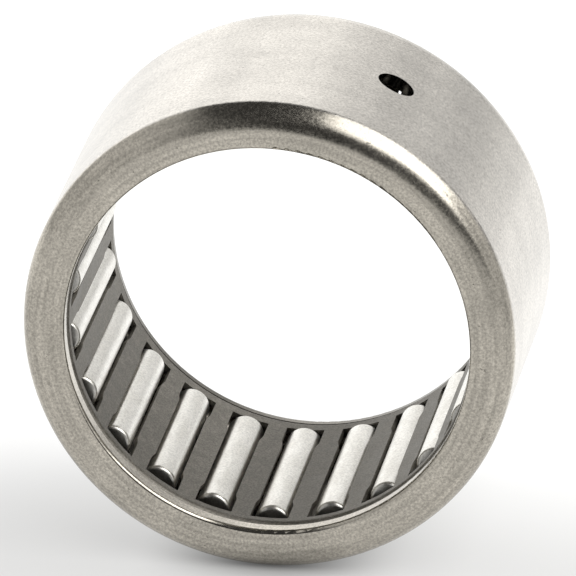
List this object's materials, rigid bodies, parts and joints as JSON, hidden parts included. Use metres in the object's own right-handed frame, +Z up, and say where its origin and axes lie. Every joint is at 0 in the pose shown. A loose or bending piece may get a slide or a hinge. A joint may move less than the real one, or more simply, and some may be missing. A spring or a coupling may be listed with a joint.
{
  "type": "needle roller bearing",
  "caption": "Drawn cup needle roller bearing: thin steel cup with curled lips and an oil hole, one-piece cage with dog-bone pockets, and crowned needles.",
  "frame": {"origin": "centre of the bearing: on its axis, half way between the two end faces", "axes": "+Y along the bearing's axis, away from the marked front face; +Z up, with the bearing standing on its rim; +X to the right seen from the front"},
  "size_m": [0.0318, 0.019, 0.0318],
  "materials": {
    "cup_steel": "case-hardened steel, ground outside, satin lips with fine grain",
    "cage_steel": "dark hardened steel strip, dull",
    "needle_steel": "ground and tumbled bearing steel, satin to bright"
  },
  "bodies": {
    "drawn_cup": {"drawn_cup": "cup_steel"},
    "cage": {"cage": "cage_steel"},
    "needle_roller_01": {"needle_roller_01": "needle_steel"},
    "needle_roller_02": {"needle_roller_02": "needle_steel"},
    "needle_roller_03": {"needle_roller_03": "needle_steel"},
    "needle_roller_04": {"needle_roller_04": "needle_steel"},
    "needle_roller_05": {"needle_roller_05": "needle_steel"},
    "needle_roller_06": {"needle_roller_06": "needle_steel"},
    "needle_roller_07": {"needle_roller_07": "needle_steel"},
    "needle_roller_08": {"needle_roller_08": "needle_steel"},
    "needle_roller_09": {"needle_roller_09": "needle_steel"},
    "needle_roller_10": {"needle_roller_10": "needle_steel"},
    "needle_roller_11": {"needle_roller_11": "needle_steel"},
    "needle_roller_12": {"needle_roller_12": "needle_steel"},
    "needle_roller_13": {"needle_roller_13": "needle_steel"},
    "needle_roller_14": {"needle_roller_14": "needle_steel"},
    "needle_roller_15": {"needle_roller_15": "needle_steel"},
    "needle_roller_16": {"needle_roller_16": "needle_steel"},
    "needle_roller_17": {"needle_roller_17": "needle_steel"},
    "needle_roller_18": {"needle_roller_18": "needle_steel"},
    "needle_roller_19": {"needle_roller_19": "needle_steel"},
    "needle_roller_20": {"needle_roller_20": "needle_steel"},
    "needle_roller_21": {"needle_roller_21": "needle_steel"},
    "needle_roller_22": {"needle_roller_22": "needle_steel"}
  },
  "joints": [
    {"name": "cage_spin", "type": "hinge", "parent": "drawn_cup", "child": "cage", "pos_m": [0, 0, 0], "axis": [0, 1, 0], "continuous": true},
    {"name": "needle_roller_01_spin", "type": "hinge", "parent": "cage", "child": "needle_roller_01", "pos_m": [0.00015, 0.00056, 0.01389], "axis": [0, 1, 0], "continuous": true},
    {"name": "needle_roller_02_spin", "type": "hinge", "parent": "cage", "child": "needle_roller_02", "pos_m": [0.00405, 0.00056, 0.01329], "axis": [0, 1, 0], "continuous": true},
    {"name": "needle_roller_03_spin", "type": "hinge", "parent": "cage", "child": "needle_roller_03", "pos_m": [0.00763, 0.00056, 0.01161], "axis": [0, 1, 0], "continuous": true},
    {"name": "needle_roller_04_spin", "type": "hinge", "parent": "cage", "child": "needle_roller_04", "pos_m": [0.01059, 0.00056, 0.00899], "axis": [0, 1, 0], "continuous": true},
    {"name": "needle_roller_05_spin", "type": "hinge", "parent": "cage", "child": "needle_roller_05", "pos_m": [0.0127, 0.00056, 0.00564], "axis": [0, 1, 0], "continuous": true},
    {"name": "needle_roller_06_spin", "type": "hinge", "parent": "cage", "child": "needle_roller_06", "pos_m": [0.01377, 0.00056, 0.00183], "axis": [0, 1, 0], "continuous": true},
    {"name": "needle_roller_07_spin", "type": "hinge", "parent": "cage", "child": "needle_roller_07", "pos_m": [0.01373, 0.00056, -0.00212], "axis": [0, 1, 0], "continuous": true},
    {"name": "needle_roller_08_spin", "type": "hinge", "parent": "cage", "child": "needle_roller_08", "pos_m": [0.01257, 0.00056, -0.0059], "axis": [0, 1, 0], "continuous": true},
    {"name": "needle_roller_09_spin", "type": "hinge", "parent": "cage", "child": "needle_roller_09", "pos_m": [0.0104, 0.00056, -0.00921], "axis": [0, 1, 0], "continuous": true},
    {"name": "needle_roller_10_spin", "type": "hinge", "parent": "cage", "child": "needle_roller_10", "pos_m": [0.00739, 0.00056, -0.01176], "axis": [0, 1, 0], "continuous": true},
    {"name": "needle_roller_11_spin", "type": "hinge", "parent": "cage", "child": "needle_roller_11", "pos_m": [0.00377, 0.00056, -0.01337], "axis": [0, 1, 0], "continuous": true},
    {"name": "needle_roller_12_spin", "type": "hinge", "parent": "cage", "child": "needle_roller_12", "pos_m": [-0.00015, 0.00056, -0.01389], "axis": [0, 1, 0], "continuous": true},
    {"name": "needle_roller_13_spin", "type": "hinge", "parent": "cage", "child": "needle_roller_13", "pos_m": [-0.00405, 0.00056, -0.01329], "axis": [0, 1, 0], "continuous": true},
    {"name": "needle_roller_14_spin", "type": "hinge", "parent": "cage", "child": "needle_roller_14", "pos_m": [-0.00763, 0.00056, -0.01161], "axis": [0, 1, 0], "continuous": true},
    {"name": "needle_roller_15_spin", "type": "hinge", "parent": "cage", "child": "needle_roller_15", "pos_m": [-0.01059, 0.00056, -0.00899], "axis": [0, 1, 0], "continuous": true},
    {"name": "needle_roller_16_spin", "type": "hinge", "parent": "cage", "child": "needle_roller_16", "pos_m": [-0.0127, 0.00056, -0.00564], "axis": [0, 1, 0], "continuous": true},
    {"name": "needle_roller_17_spin", "type": "hinge", "parent": "cage", "child": "needle_roller_17", "pos_m": [-0.01377, 0.00056, -0.00183], "axis": [0, 1, 0], "continuous": true},
    {"name": "needle_roller_18_spin", "type": "hinge", "parent": "cage", "child": "needle_roller_18", "pos_m": [-0.01373, 0.00056, 0.00212], "axis": [0, 1, 0], "continuous": true},
    {"name": "needle_roller_19_spin", "type": "hinge", "parent": "cage", "child": "needle_roller_19", "pos_m": [-0.01257, 0.00056, 0.0059], "axis": [0, 1, 0], "continuous": true},
    {"name": "needle_roller_20_spin", "type": "hinge", "parent": "cage", "child": "needle_roller_20", "pos_m": [-0.0104, 0.00056, 0.00921], "axis": [0, 1, 0], "continuous": true},
    {"name": "needle_roller_21_spin", "type": "hinge", "parent": "cage", "child": "needle_roller_21", "pos_m": [-0.00739, 0.00056, 0.01176], "axis": [0, 1, 0], "continuous": true},
    {"name": "needle_roller_22_spin", "type": "hinge", "parent": "cage", "child": "needle_roller_22", "pos_m": [-0.00377, 0.00056, 0.01337], "axis": [0, 1, 0], "continuous": true}
  ],
  "couplings": [
    {"joint": "needle_roller_01_spin", "follows": "cage_spin", "ratio": -12.667},
    {"joint": "needle_roller_02_spin", "follows": "cage_spin", "ratio": -12.667},
    {"joint": "needle_roller_03_spin", "follows": "cage_spin", "ratio": -12.667},
    {"joint": "needle_roller_04_spin", "follows": "cage_spin", "ratio": -12.667},
    {"joint": "needle_roller_05_spin", "follows": "cage_spin", "ratio": -12.667},
    {"joint": "needle_roller_06_spin", "follows": "cage_spin", "ratio": -12.667},
    {"joint": "needle_roller_07_spin", "follows": "cage_spin", "ratio": -12.667},
    {"joint": "needle_roller_08_spin", "follows": "cage_spin", "ratio": -12.667},
    {"joint": "needle_roller_09_spin", "follows": "cage_spin", "ratio": -12.667},
    {"joint": "needle_roller_10_spin", "follows": "cage_spin", "ratio": -12.667},
    {"joint": "needle_roller_11_spin", "follows": "cage_spin", "ratio": -12.667},
    {"joint": "needle_roller_12_spin", "follows": "cage_spin", "ratio": -12.667},
    {"joint": "needle_roller_13_spin", "follows": "cage_spin", "ratio": -12.667},
    {"joint": "needle_roller_14_spin", "follows": "cage_spin", "ratio": -12.667},
    {"joint": "needle_roller_15_spin", "follows": "cage_spin", "ratio": -12.667},
    {"joint": "needle_roller_16_spin", "follows": "cage_spin", "ratio": -12.667},
    {"joint": "needle_roller_17_spin", "follows": "cage_spin", "ratio": -12.667},
    {"joint": "needle_roller_18_spin", "follows": "cage_spin", "ratio": -12.667},
    {"joint": "needle_roller_19_spin", "follows": "cage_spin", "ratio": -12.667},
    {"joint": "needle_roller_20_spin", "follows": "cage_spin", "ratio": -12.667},
    {"joint": "needle_roller_21_spin", "follows": "cage_spin", "ratio": -12.667},
    {"joint": "needle_roller_22_spin", "follows": "cage_spin", "ratio": -12.667}
  ]
}
